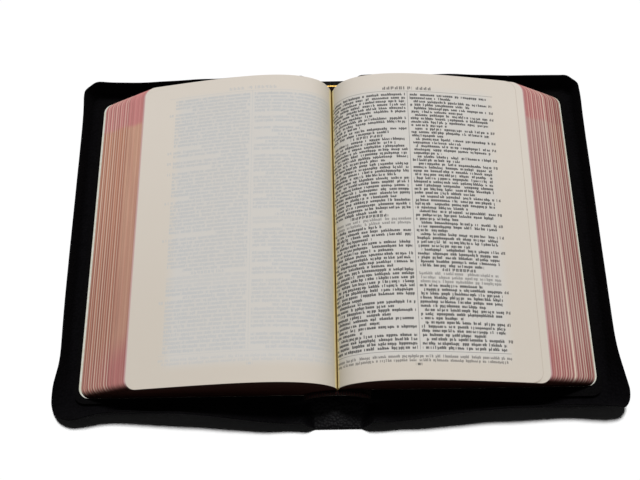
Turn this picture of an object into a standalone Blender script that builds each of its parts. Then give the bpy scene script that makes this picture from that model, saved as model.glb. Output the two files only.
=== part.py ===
"""Open bible in a limp leather binding, with sewn gatherings, turned-up cover edges and a leaf that turns."""

import math

import bmesh
import bpy
import numpy as np
from mathutils import Matrix

# Leaves, in metres and degrees
LEAF_WIDTH = 0.1388
LEAF_HEIGHT = 0.210
LEAF_CORNER_RADIUS = 0.007
GATHERINGS_PER_SIDE = 9
PAGE_START_ANGLE = 77.5
PAGE_END_ANGLE = -13.0
PAGE_BEND_LENGTH = 0.0245
CROWN_LENGTH = 0.045
GUTTER_RISE_HEIGHT = 0.0024

# Spine, and how far its sewn backs arch up while the book lies open
SPINE_WIDTH = 0.041
SPINE_ARCH_HEIGHT = 0.011
SPINE_REACH_LENGTH = 0.0195
SPINE_END_RADIUS = 0.004

# Thickness of each layer
LEATHER_THICKNESS = 0.0012
COVER_CARD_THICKNESS = 0.0010
COVER_LINING_THICKNESS = 0.0005
FLYLEAF_THICKNESS = 0.0004
SPINE_CARD_THICKNESS = 0.0008
CLOTH_THICKNESS = 0.0004
TAPE_THICKNESS = 0.0005

# Cover: the flat margin round the leaves, then the edge that is turned up
COVER_MARGIN_WIDTH = 0.0042
COVER_CORNER_RADIUS = 0.004
CARD_MARGIN_WIDTH = 0.0016
LINING_MARGIN_WIDTH = 0.0030
EDGE_LENGTH = 0.0157
EDGE_BEND_RADIUS = 0.006
EDGE_ANGLE = 75.0
JOINT_ANGLE = 30.0
CORNER_ANGLE = 64.0
CORNER_SPREAD_LENGTH = 0.018
CORNER_EXTRA_LENGTH = 0.0035
CORNER_TIP_LENGTH = 0.007
EDGE_UNROLL_LENGTH = 0.085
JOINT_GAP_WIDTH = 0.0006

# Sewing
TAPE_WIDTH = 0.010
TAPE_SPACING_LENGTH = 0.055
TAPE_COUNT = 3
TAPE_INSET_WIDTH = 0.002
THREAD_RADIUS = 0.00025
KETTLE_INSET_LENGTH = 0.012
BAND_RADIUS = 0.0012

# Turning leaf: flat strips that lie on the page, joined at its bends
LEAF_THICKNESS = 0.0003
LEAF_SHORT_LENGTH = 0.005
STRIP_END_GAP_WIDTH = 0.0002
STRIP_BENDS = (0.85, 0.60, 0.37, 0.17, 0.03)
STRIP_NAMES = ("root", "shoulder", "crown", "slope", "page")

# Fit and facets
GAP_WIDTH = 0.0003
CURVE_STEPS = 400
NEWTON_STEPS = 8
PAGE_STATIONS = 11
LAST_STATION_INSET_LENGTH = 0.0084
ARC_SEGMENTS = 5
ARCH_STATIONS = 12
END_EDGE_STATIONS = 13
FORE_EDGE_STATIONS = 6
EDGE_RINGS = 5
SHARP_ANGLE = 35.0
SIDES = {"left": -1.0, "right": 1.0}
COVERS = {"front": "left", "back": "right"}

# Heights that follow from the layers
CARD_LEVEL = LEATHER_THICKNESS + GAP_WIDTH
LINING_LEVEL = CARD_LEVEL + COVER_CARD_THICKNESS + GAP_WIDTH
FLYLEAF_LEVEL = LINING_LEVEL + COVER_LINING_THICKNESS + GAP_WIDTH
BLOCK_LEVEL = FLYLEAF_LEVEL + FLYLEAF_THICKNESS + GAP_WIDTH
CLOTH_LEVEL = LEATHER_THICKNESS + GAP_WIDTH + SPINE_CARD_THICKNESS + GAP_WIDTH
TAPE_LEVEL = CLOTH_LEVEL + CLOTH_THICKNESS + GAP_WIDTH
BACK_LEVEL = TAPE_LEVEL + TAPE_THICKNESS + GAP_WIDTH

HALF_SPINE = SPINE_WIDTH / 2
HALF_LEAF = LEAF_HEIGHT / 2
JOINT_X = HALF_SPINE + JOINT_GAP_WIDTH / 2
FORE_EDGE_X = HALF_SPINE + LEAF_WIDTH
PAGE_SLOPES = np.array((PAGE_START_ANGLE, PAGE_END_ANGLE))


def smooth(value):
    """Ease from 0 to 1 as the value goes from 0 to 1."""
    value = np.clip(value, 0.0, 1.0)
    return value * value * (3.0 - 2.0 * value)


def arch(x):
    """Height that the sewn backs rise above the flat spine at x."""
    return SPINE_ARCH_HEIGHT * np.clip(1.0 - (x / HALF_SPINE) ** 2, 0.0, None)


def leaf_angle(length, slopes):
    """Slope in radians at a length along a leaf that eases from a start slope to an end slope."""
    start, end = slopes
    return np.radians(end + (start - end) * np.exp(-length / PAGE_BEND_LENGTH))


def back_of(share):
    """Place of a leaf's fold on the spine: share 0 lies by the cover, 1 in the gutter."""
    x = GAP_WIDTH / 2 + (HALF_SPINE - GAP_WIDTH / 2) * (1.0 - share)
    return x, BACK_LEVEL + arch(x)


def riser_of(share):
    """Height that a leaf stands up from its fold before it bends over."""
    return BLOCK_LEVEL - BACK_LEVEL + share * GUTTER_RISE_HEIGHT


def bent_run(share, slopes):
    """Lengths along a leaf past its riser, and the points x, z there."""
    x, z = back_of(share)
    run = np.linspace(0.0, LEAF_WIDTH - riser_of(share), CURVE_STEPS + 1)
    angle = leaf_angle((run[:-1] + run[1:]) / 2, slopes)
    step = run[1]
    xs = x + step * np.concatenate([[0.0], np.cumsum(np.cos(angle))])
    zs = z + riser_of(share) + step * np.concatenate([[0.0], np.cumsum(np.sin(angle))])
    return run, xs, zs


def heights_of(share, slopes):
    """Height of a leaf at its crown and at its fore-edge."""
    run, _, zs = bent_run(share, slopes)
    return np.array((np.interp(CROWN_LENGTH, run, zs), zs[-1]))


PAGE_HEIGHTS = heights_of(1.0, PAGE_SLOPES)


def slopes_of(share):
    """Slopes that space the leaves evenly at crown and fore-edge, found by Newton's method."""
    wanted = BLOCK_LEVEL + share * (PAGE_HEIGHTS - BLOCK_LEVEL)
    slopes = share * PAGE_SLOPES
    for _ in range(NEWTON_STEPS):
        heights = heights_of(share, slopes)
        change = np.column_stack([heights_of(share, slopes + step) - heights for step in np.eye(2)])
        slopes = slopes + np.linalg.solve(change, wanted - heights)
    return slopes


def leaf_curve(share):
    """A function from (on the riser, share of that stretch) to x, z for one leaf of the block."""
    back_x, back_z = back_of(share)
    rise = riser_of(share)
    run, xs, zs = bent_run(share, slopes_of(share))

    def at(on_riser, part):
        length = part * run[-1]
        x = np.where(on_riser, back_x, np.interp(length, run, xs))
        z = np.where(on_riser, back_z + part * rise, np.interp(length, run, zs))
        return x, z

    return at


def material(name, colour, roughness):
    made = bpy.data.materials.new(name)
    made.use_nodes = True
    shader = made.node_tree.nodes["Principled BSDF"]
    shader.inputs["Base Color"].default_value = (*colour, 1.0)
    shader.inputs["Roughness"].default_value = roughness
    made.diffuse_color = (*colour, 1.0)
    return made


def add_object(name, data, finish, parent):
    made = bpy.data.objects.new(name, data)
    if isinstance(data, bpy.types.Mesh):
        data.shade_smooth()
        data.set_sharp_from_angle(angle=math.radians(SHARP_ANGLE))
    made.data.materials.append(finish)
    made.parent = parent
    book.objects.link(made)
    return made


def mesh_of(shape, name):
    """Close a bmesh into a mesh with its faces pointing out."""
    bmesh.ops.recalc_face_normals(shape, faces=shape.faces)
    mesh = bpy.data.meshes.new(name)
    shape.to_mesh(mesh)
    shape.free()
    return mesh


def rounded_end(start, end, half, radius):
    """Outline of a flat sheet from start to end with its two outer corners rounded."""
    turn = np.linspace(0.0, math.pi / 2, ARC_SEGMENTS + 1)
    corner_x = end - radius + radius * np.sin(turn)
    corner_y = half - radius + radius * np.cos(turn)
    upper = list(zip(corner_x, corner_y))
    lower = [(x, -y) for x, y in reversed(upper)]
    return [(start, half), *upper, *lower, (start, -half)]


def slab(outline, low, high, cuts=()):
    """A flat plate on an outline, from one height to another, cut across at each x in cuts."""
    shape = bmesh.new()
    face = shape.faces.new([shape.verts.new((x, y, low)) for x, y in outline])
    raised = bmesh.ops.extrude_face_region(shape, geom=[face])["geom"]
    for item in raised:
        if isinstance(item, bmesh.types.BMVert):
            item.co.z = high
    for cut in cuts:
        everything = [*shape.verts, *shape.edges, *shape.faces]
        bmesh.ops.bisect_plane(shape, geom=everything, plane_co=(cut, 0, 0), plane_no=(1, 0, 0))
    return shape


def gathering(name, side, number, parent):
    """One sewn gathering: a flat stack of leaves, bent between the curves of its outer leaves."""
    spread = GAP_WIDTH / (2 * (PAGE_HEIGHTS[1] - BLOCK_LEVEL))
    shares = (number / GATHERINGS_PER_SIDE + spread, (number + 1) / GATHERINGS_PER_SIDE - spread)
    curves = [leaf_curve(share) for share in shares]
    riser_end = riser_of(1.0)
    turned = np.arange(1, PAGE_STATIONS) / PAGE_STATIONS
    reach = 1.0 - math.exp(-LEAF_WIDTH / PAGE_BEND_LENGTH)
    stations = riser_end - PAGE_BEND_LENGTH * np.log(1.0 - turned * reach)
    last_station = LEAF_WIDTH - LAST_STATION_INSET_LENGTH
    stations = [riser_end, *stations[stations < last_station], last_station]
    shape = slab(rounded_end(0.0, LEAF_WIDTH, HALF_LEAF, LEAF_CORNER_RADIUS), 0.0, 1.0, stations)
    for vert in shape.verts:
        on_riser = vert.co.x <= riser_end
        if on_riser:
            part = vert.co.x / riser_end
        else:
            part = (vert.co.x - riser_end) / (LEAF_WIDTH - riser_end)
        x, z = curves[round(vert.co.z)](on_riser, part)
        vert.co.x = side * x
        vert.co.z = z
    return add_object(name, mesh_of(shape, name), page_edges, parent)


def arched_sheet(name, half_x, low_y, high_y, level, thickness, finish, parent):
    """A strip across the spine that follows the arch of the sewn backs."""
    outline = [(-half_x, low_y), (half_x, low_y), (half_x, high_y), (-half_x, high_y)]
    cuts = np.linspace(-half_x, half_x, ARCH_STATIONS + 1)[1:-1]
    shape = slab(outline, level, level + thickness, cuts)
    for vert in shape.verts:
        vert.co.z += arch(vert.co.x)
    return add_object(name, mesh_of(shape, name), finish, parent)


def arched_cord(name, y, level, radius, half_x, finish, parent):
    """A round cord across the spine that follows the arch of the sewn backs."""
    curve = bpy.data.curves.new(name, "CURVE")
    curve.dimensions = "3D"
    curve.bevel_depth = radius
    curve.bevel_resolution = 2
    curve.use_fill_caps = True
    xs = np.linspace(-half_x, half_x, ARCH_STATIONS + 1)
    slope = 2.0 * SPINE_ARCH_HEIGHT * xs / HALF_SPINE**2
    zs = level + arch(xs) + radius * np.hypot(1.0, slope)
    spline = curve.splines.new("POLY")
    spline.points.add(len(xs) - 1)
    for point, x, z in zip(spline.points, xs, zs):
        point.co = (x, y, z, 1.0)
    return add_object(name, curve, finish, parent)


def cover_sheet(name, side, start, reach_x, reach_y, radius, level, thickness, finish, parent):
    """A flat card or lining inside a cover, from the joint out to the turned-up edge."""
    shape = slab(rounded_end(start, reach_x, reach_y, radius), level, level + thickness)
    for vert in shape.verts:
        vert.co.x *= side
    mesh = mesh_of(shape, name)
    mesh.transform(Matrix.Translation(-parent.location))
    return add_object(name, mesh, finish, parent)


def cover_foot():
    """Points and outward directions along the foot of the turned-up edge, head joint to tail joint."""
    start = HALF_SPINE + JOINT_GAP_WIDTH
    end = FORE_EDGE_X + COVER_MARGIN_WIDTH
    half = HALF_LEAF + COVER_MARGIN_WIDTH
    along = np.linspace(start, end - COVER_CORNER_RADIUS, END_EDGE_STATIONS + 1)[:-1]
    turn = np.linspace(0.0, math.pi / 2, ARC_SEGMENTS + 1)
    down = np.linspace(half - COVER_CORNER_RADIUS, 0.0, FORE_EDGE_STATIONS + 1)[1:]
    head = np.stack([along, np.full_like(along, half)], axis=1)
    out = np.stack([np.sin(turn), np.cos(turn)], axis=1)
    corner = (end - COVER_CORNER_RADIUS, half - COVER_CORNER_RADIUS) + COVER_CORNER_RADIUS * out
    fore = np.stack([np.full_like(down, end), down], axis=1)
    points = np.concatenate([head, corner, fore])
    head_out = np.tile((0.0, 1.0), (len(head), 1))
    fore_out = np.tile((1.0, 0.0), (len(fore), 1))
    normals = np.concatenate([head_out, out, fore_out])
    flip = np.array((1.0, -1.0))
    points = np.concatenate([points, points[-2::-1] * flip])
    normals = np.concatenate([normals, normals[-2::-1] * flip])
    return points, normals


def edge_rings():
    """Rings of points from the foot of the turned-up edge to its rim."""
    points, normals = cover_foot()
    corner = (FORE_EDGE_X + COVER_MARGIN_WIDTH, HALF_LEAF + COVER_MARGIN_WIDTH)
    from_corner = np.hypot(points[:, 0] - corner[0], np.abs(points[:, 1]) - corner[1])
    from_joint = points[:, 0] - HALF_SPINE
    splay = np.exp(-((from_corner / CORNER_SPREAD_LENGTH) ** 2))
    unrolled = (EDGE_ANGLE - JOINT_ANGLE) * (1.0 - smooth(from_joint / EDGE_UNROLL_LENGTH))
    angle = np.radians(EDGE_ANGLE - (EDGE_ANGLE - CORNER_ANGLE) * splay - unrolled)
    length = EDGE_LENGTH + CORNER_EXTRA_LENGTH * np.exp(-((from_corner / CORNER_TIP_LENGTH) ** 2))
    rings = []
    for ring in range(EDGE_RINGS + 1):
        run = length * ring / EDGE_RINGS
        bent = np.minimum(run / EDGE_BEND_RADIUS, angle)
        straight = np.maximum(run - EDGE_BEND_RADIUS * angle, 0.0)
        out = EDGE_BEND_RADIUS * np.sin(bent) + straight * np.cos(angle)
        rise = EDGE_BEND_RADIUS * (1.0 - np.cos(bent)) + straight * np.sin(angle)
        rings.append(np.column_stack([points + normals * out[:, None], rise]))
    return rings


def thicken(thing, thickness):
    """Give an upward-facing open sheet its thickness, on its upper side."""
    wall = thing.modifiers.new("thickness", "SOLIDIFY")
    wall.thickness = thickness
    wall.offset = 1.0
    wall.use_even_offset = True


def cover_leather(name, side, parent):
    """One cover's leather: a flat floor and the edge that turns up on three sides."""
    shape = bmesh.new()
    rings = [[shape.verts.new((side * x, y, z)) for x, y, z in ring] for ring in edge_rings()]
    shape.faces.new(rings[0])
    for inner, outer in zip(rings, rings[1:]):
        for a, b, c, d in zip(inner, inner[1:], outer[1:], outer):
            shape.faces.new((a, b, c, d))
    bmesh.ops.recalc_face_normals(shape, faces=shape.faces)
    floor = max(shape.faces, key=lambda face: face.calc_area())
    if floor.normal.z < 0:
        bmesh.ops.reverse_faces(shape, faces=shape.faces)
    mesh = bpy.data.meshes.new(name)
    shape.to_mesh(mesh)
    shape.free()
    mesh.transform(Matrix.Translation(-parent.location))
    thicken(add_object(name, mesh, leather, parent), LEATHER_THICKNESS)


def spine_leather():
    """The flat strip of leather between the covers, which runs past the leaves at head and tail."""
    reach = HALF_LEAF + SPINE_REACH_LENGTH
    turn = np.linspace(0.0, math.pi / 2, ARC_SEGMENTS + 1)
    corner_x = HALF_SPINE - SPINE_END_RADIUS * (1.0 - np.sin(turn))
    corner_y = reach - SPINE_END_RADIUS * (1.0 - np.cos(turn))
    head = list(zip(corner_x, corner_y))
    right = [*head, *((x, -y) for x, y in reversed(head))]
    outline = [*right, *((-x, y) for x, y in reversed(right))]
    mesh = mesh_of(slab(outline, 0.0, LEATHER_THICKNESS), "spine_leather")
    add_object("spine_leather", mesh, leather, case)


def strip_lines():
    """Slope of each strip of the turning leaf, and the points where the strips meet."""
    offset = GAP_WIDTH + LEAF_THICKNESS / 2
    run, xs, zs = bent_run(1.0, PAGE_SLOPES)
    lines = []
    for bend in STRIP_BENDS:
        length = -PAGE_BEND_LENGTH * math.log(bend)
        slope = float(leaf_angle(length, PAGE_SLOPES))
        x = np.interp(length, run, xs) - offset * math.sin(slope)
        z = np.interp(length, run, zs) + offset * math.cos(slope)
        lines.append((slope, x, z))
    first_slope, first_x, first_z = lines[0]
    meets = [(0.0, first_z - first_x * math.tan(first_slope))]
    for (slope_a, x_a, z_a), (slope_b, x_b, z_b) in zip(lines, lines[1:]):
        tan_a, tan_b = math.tan(slope_a), math.tan(slope_b)
        x = (z_b - z_a + tan_a * x_a - tan_b * x_b) / (tan_a - tan_b)
        meets.append((x, z_a + tan_a * (x - x_a)))
    slope, x, z = lines[-1]
    end_x = xs[-1] - LEAF_SHORT_LENGTH * math.cos(slope)
    meets.append((end_x, z + math.tan(slope) * (end_x - x)))
    return [line[0] for line in lines], meets


def turning_leaf():
    """The leaf that turns: five flat strips, each hinged to the last along the leaf's height."""
    slopes, meets = strip_lines()
    parent, before, along = case, 0.0, 0.0
    for name, slope, start, end in zip(STRIP_NAMES, slopes, meets, meets[1:]):
        length = math.dist(start, end)
        last = name == STRIP_NAMES[-1]
        outer = length if last else length - STRIP_END_GAP_WIDTH
        radius = LEAF_CORNER_RADIUS if last else STRIP_END_GAP_WIDTH
        outline = rounded_end(STRIP_END_GAP_WIDTH, outer, HALF_LEAF, radius)
        node = f"turning_leaf_{name}"
        mesh = mesh_of(slab(outline, -LEAF_THICKNESS / 2, LEAF_THICKNESS / 2), node)
        strip = add_object(node, mesh, page, parent)
        strip.location = (0.0, 0.0, start[1]) if parent == case else (along, 0.0, 0.0)
        strip.rotation_euler = (0.0, before - slope, 0.0)
        parent, before, along = strip, slope, length


def add_empty(name, location, parent):
    made = bpy.data.objects.new(name, None)
    made.location = location
    made.parent = parent
    book.objects.link(made)
    return made


for thing in list(bpy.data.objects):
    bpy.data.objects.remove(thing, do_unlink=True)

book = bpy.data.collections.new("open_bible")
bpy.context.scene.collection.children.link(book)

leather = material("black_leather", (0.008, 0.008, 0.009), 0.45)
card = material("grey_card", (0.35, 0.34, 0.31), 0.9)
lining = material("black_lining", (0.012, 0.011, 0.012), 0.6)
page = material("cream_paper", (0.66, 0.62, 0.52), 0.8)
page_edges = material("red_page_edges", (0.50, 0.22, 0.20), 0.55)
cloth = material("spine_cloth", (0.045, 0.032, 0.026), 0.9)
thread = material("linen_thread", (0.70, 0.64, 0.50), 0.8)

case = add_empty("case", (0.0, 0.0, 0.0), None)

for cover_name, side_name in COVERS.items():
    side = SIDES[side_name]
    hinge = add_empty(f"{cover_name}_cover_joint", (side * JOINT_X, 0.0, 0.0), case)
    cover_start = HALF_SPINE + JOINT_GAP_WIDTH
    cover_leather(f"{cover_name}_cover_leather", side, hinge)
    for piece, margin, level, thickness, finish in (
        ("card", CARD_MARGIN_WIDTH, CARD_LEVEL, COVER_CARD_THICKNESS, card),
        ("lining", LINING_MARGIN_WIDTH, LINING_LEVEL, COVER_LINING_THICKNESS, lining),
    ):
        cover_sheet(
            f"{cover_name}_cover_{piece}",
            side,
            cover_start,
            FORE_EDGE_X + margin,
            HALF_LEAF + margin,
            LEAF_CORNER_RADIUS,
            level,
            thickness,
            finish,
            hinge,
        )
    flyleaf = slab(
        rounded_end(HALF_SPINE + GAP_WIDTH, FORE_EDGE_X, HALF_LEAF, LEAF_CORNER_RADIUS),
        FLYLEAF_LEVEL,
        FLYLEAF_LEVEL + FLYLEAF_THICKNESS,
    )
    for corner in flyleaf.verts:
        corner.co.x *= side
    add_object(f"{cover_name}_flyleaf", mesh_of(flyleaf, f"{cover_name}_flyleaf"), page, case)

spine_leather()
card_half = HALF_SPINE - TAPE_INSET_WIDTH
card_corners = ((-1, -1), (1, -1), (1, 1), (-1, 1))
card_outline = [(x * card_half, y * HALF_LEAF) for x, y in card_corners]
spine_card = slab(card_outline, CARD_LEVEL, CARD_LEVEL + SPINE_CARD_THICKNESS)
add_object("spine_card", mesh_of(spine_card, "spine_card"), card, case)

band_y = HALF_LEAF + GAP_WIDTH + BAND_RADIUS
cloth_half_y = band_y + BAND_RADIUS
cloth_span = (-cloth_half_y, cloth_half_y)
arched_sheet("spine_cloth", HALF_SPINE, *cloth_span, CLOTH_LEVEL, CLOTH_THICKNESS, cloth, case)
tape_half = HALF_SPINE - TAPE_INSET_WIDTH
for number in range(TAPE_COUNT):
    middle = (number - (TAPE_COUNT - 1) / 2) * TAPE_SPACING_LENGTH
    low, high = middle - TAPE_WIDTH / 2, middle + TAPE_WIDTH / 2
    arched_sheet(f"sewing_tape_{number + 1}", tape_half, low, high, TAPE_LEVEL, TAPE_THICKNESS, cloth, case)
for end, sign in (("head", 1.0), ("tail", -1.0)):
    kettle_y = sign * (HALF_LEAF - KETTLE_INSET_LENGTH)
    arched_cord(f"kettle_stitch_{end}", kettle_y, TAPE_LEVEL, THREAD_RADIUS, tape_half, thread, case)
    arched_cord(f"{end}band", sign * band_y, TAPE_LEVEL, BAND_RADIUS, tape_half, thread, case)

for side_name, side in SIDES.items():
    for number in range(GATHERINGS_PER_SIDE):
        gathering(f"{side_name}_gathering_{number + 1}", side, number, case)

turning_leaf()
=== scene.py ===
import math

import bmesh
import bpy
import numpy as np
from mathutils import Matrix


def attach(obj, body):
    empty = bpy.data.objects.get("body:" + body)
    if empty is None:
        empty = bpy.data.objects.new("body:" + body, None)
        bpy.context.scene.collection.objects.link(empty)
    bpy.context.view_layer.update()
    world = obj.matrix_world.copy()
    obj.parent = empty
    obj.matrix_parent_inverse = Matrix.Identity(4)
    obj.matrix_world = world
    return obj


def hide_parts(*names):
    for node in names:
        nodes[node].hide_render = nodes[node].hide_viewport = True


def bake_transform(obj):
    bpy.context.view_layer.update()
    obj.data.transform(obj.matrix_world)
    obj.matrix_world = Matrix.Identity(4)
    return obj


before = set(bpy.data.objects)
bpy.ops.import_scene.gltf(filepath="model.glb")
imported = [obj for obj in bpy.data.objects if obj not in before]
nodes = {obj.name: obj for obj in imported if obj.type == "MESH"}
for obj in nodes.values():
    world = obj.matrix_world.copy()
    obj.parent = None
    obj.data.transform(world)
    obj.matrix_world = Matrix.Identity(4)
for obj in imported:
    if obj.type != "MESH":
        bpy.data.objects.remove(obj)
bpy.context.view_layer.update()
bpy.context.scene.view_settings.view_transform = "Standard"

# The limp binding: one skin of thin grained black leather, which runs under the spine and both covers.
# It stands past the leaves all round, with its edge turned up, but lies flat as a tongue on the spine.
# Its two halves meet on the spine's middle.
LEFT = -1.0
RIGHT = 1.0
LEATHER_THICKNESS = 0.0012
COVER_REACH = 0.1635
COVER_HALF_HEIGHT = 0.1092
FOOT_RADIUS = 0.004
JOINT_X = 0.0208
JOINT_HALF_WIDTH = 0.0025
TONGUE_HALF_WIDTH = 0.0135
TONGUE_BLEND_WIDTH = 0.0085
HEAD_TONGUE_REACH = 0.0130
TAIL_TONGUE_REACH = 0.0153
EDGE_LENGTH = 0.0157
EDGE_BEND_RADIUS = 0.006
EDGE_ANGLE = 75.0
JOINT_ANGLE = 30.0
HEAD_UNROLL_LENGTH = 0.125
TAIL_UNROLL_LENGTH = 0.085
HEAD_CORNER_ANGLE = 70.0
TAIL_CORNER_ANGLE = {LEFT: 12.4, RIGHT: 35.8}
HEAD_CORNER_SPREAD = 0.018
TAIL_CORNER_SPREAD = {LEFT: 0.018, RIGHT: 0.0203}
HEAD_CORNER_EXTRA = {LEFT: 0.0015, RIGHT: -0.0004}
TAIL_CORNER_EXTRA = {LEFT: -0.0032, RIGHT: 0.0004}
HEAD_CORNER_TIP = 0.008
TAIL_CORNER_TIP = {LEFT: 0.0416, RIGHT: 0.0105}
TAIL_LEAN_ANGLE = {LEFT: 29.7, RIGHT: 40.0}
TAIL_LEAN_X = {LEFT: 0.1557, RIGHT: 0.1631}
TAIL_LEAN_SPREAD = {LEFT: 0.034, RIGHT: 0.0304}
TAIL_FACING = 0.6
RIPPLE_ANGLE = 1.6
RIPPLE_LENGTH = 0.0004
RIPPLE_PITCHES = (0.043, 0.0271)
PLEAT_DEPTH = 0.0004
PLEAT_PITCH = 0.0031
PLEAT_SPREAD = 0.009
BLEND_LEAD = 0.001
BLEND_TRAIL = 0.002
TONGUE_STEPS = 8
BLEND_STEPS = 24
SIDE_STEPS = 40
CORNER_STEPS = 8
FORE_STEPS = 32
EDGE_STEPS = 20
RIM_STEPS = 5
WELD_DISTANCE = 1e-6
SHARP_ANGLE = 40.0
LEATHER_SHARP_ANGLE = 60.0


def smooth(value):
    """Nought below 0, one above 1, and three squares less two cubes between."""
    held = np.clip(value, 0.0, 1.0)
    return held * held * (3.0 - 2.0 * held)


def bell(value):
    """One at nought, falling away on both sides: the exponential of minus the square."""
    return np.exp(-(value**2))


def quads_of(numbers):
    """The quads between neighbours of a grid of point numbers."""
    corners = (numbers[:-1, :-1], numbers[1:, :-1], numbers[1:, 1:], numbers[:-1, 1:])
    return np.stack(corners, axis=-1).reshape(-1, 4)


def make_piece(name, sheets, charts, finish, sharp_angle=SHARP_ANGLE):
    """A closed mesh from grids of points.

    Grids become quads, edges that meet are welded and faces turned outwards. Charts are UV maps."""
    points = np.concatenate([sheet.reshape(-1, 3) for sheet in sheets])
    sizes = [sheet[..., 0].size for sheet in sheets]
    starts = np.cumsum([0] + sizes[:-1])
    grids = [np.arange(size).reshape(sheet.shape[:2]) for size, sheet in zip(sizes, sheets)]
    faces = np.concatenate([quads_of(start + grid) for start, grid in zip(starts, grids)])
    mesh = bpy.data.meshes.new(name)
    mesh.from_pydata(points.tolist(), [], faces.tolist())
    if charts is not None:
        chart = np.concatenate([part.reshape(-1, 2) for part in charts])
        layer = mesh.uv_layers.new(name="chart")
        layer.data.foreach_set("uv", chart[faces.ravel()].astype(np.float32).ravel())
    shape = bmesh.new()
    shape.from_mesh(mesh)
    bmesh.ops.remove_doubles(shape, verts=shape.verts, dist=WELD_DISTANCE)
    bmesh.ops.recalc_face_normals(shape, faces=shape.faces)
    shape.to_mesh(mesh)
    shape.free()
    mesh.polygons.foreach_set("use_smooth", np.ones(len(mesh.polygons), dtype=bool))
    mesh.set_sharp_from_angle(angle=math.radians(sharp_angle))
    mesh.materials.append(finish)
    piece = bpy.data.objects.new(name, mesh)
    bpy.context.scene.collection.objects.link(piece)
    return piece


def foot_line(along):
    """Points and outward directions at distances along the edge's foot, from the spine's head to its tail.

    The foot's head, fore-edge and tail are straight, with a quarter circle between."""
    straight_x = COVER_REACH - FOOT_RADIUS
    straight_y = COVER_HALF_HEIGHT - FOOT_RADIUS
    arc = FOOT_RADIUS * math.pi / 2
    knots = np.cumsum([0.0, straight_x, arc, 2 * straight_y, arc, straight_x])
    turn = np.interp(along, knots, np.radians([90.0, 90.0, 0.0, 0.0, -90.0, -90.0]))
    centre_x = np.interp(along, knots, straight_x * np.array([0.0, 1.0, 1.0, 1.0, 1.0, 0.0]))
    centre_y = np.interp(along, knots, straight_y * np.array([1.0, 1.0, 1.0, -1.0, -1.0, -1.0]))
    out = np.stack([np.cos(turn), np.sin(turn)], axis=-1)
    return np.stack([centre_x, centre_y], axis=-1) + FOOT_RADIUS * out, out


def foot_stations():
    """Distances along the foot of the head, fore-edge and tail, closest together at joints and corners."""
    arc = FOOT_RADIUS * math.pi / 2
    blend_start = TONGUE_HALF_WIDTH - BLEND_LEAD
    blend_end = TONGUE_HALF_WIDTH + TONGUE_BLEND_WIDTH + BLEND_TRAIL
    corner_start = COVER_REACH - FOOT_RADIUS
    corner_middle = corner_start + arc / 2
    fore_middle = corner_start + arc + COVER_HALF_HEIGHT - FOOT_RADIUS
    head = np.concatenate([
        np.linspace(0.0, blend_start, TONGUE_STEPS + 1)[:-1],
        np.linspace(blend_start, blend_end, BLEND_STEPS + 1)[:-1],
        np.linspace(blend_end, corner_start, SIDE_STEPS + 1)[:-1],
        np.linspace(corner_start, corner_middle, CORNER_STEPS + 1),
    ])
    half_fore = np.concatenate([
        np.linspace(corner_middle, corner_start + arc, CORNER_STEPS + 1)[:-1],
        np.linspace(corner_start + arc, fore_middle, FORE_STEPS + 1),
    ])
    fore = np.concatenate([half_fore, 2 * fore_middle - half_fore[-2::-1]])
    return head, fore, 2 * fore_middle - head


def cover_floor(head, fore, tail):
    """The flat floor between its head, fore-edge and tail lines.

    It is the sum of the straight blends of both pairs of sides, less the blend of the four corners."""
    across = (head[:, 0] / head[-1, 0])[:, None, None]
    down = ((fore[0, 1] - fore[:, 1]) / (fore[0, 1] - fore[-1, 1]))[None, :, None]
    spine = (head[0] + (tail[0] - head[0]) * down[0])[None]
    between_ends = head[:, None] * (1 - down) + tail[:, None] * down
    between_sides = spine * (1 - across) + fore[None] * across
    spine_corners = head[0] * (1 - down) + tail[0] * down
    fore_corners = head[-1] * (1 - down) + tail[-1] * down
    return between_ends + between_sides - (spine_corners * (1 - across) + fore_corners * across)


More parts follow.
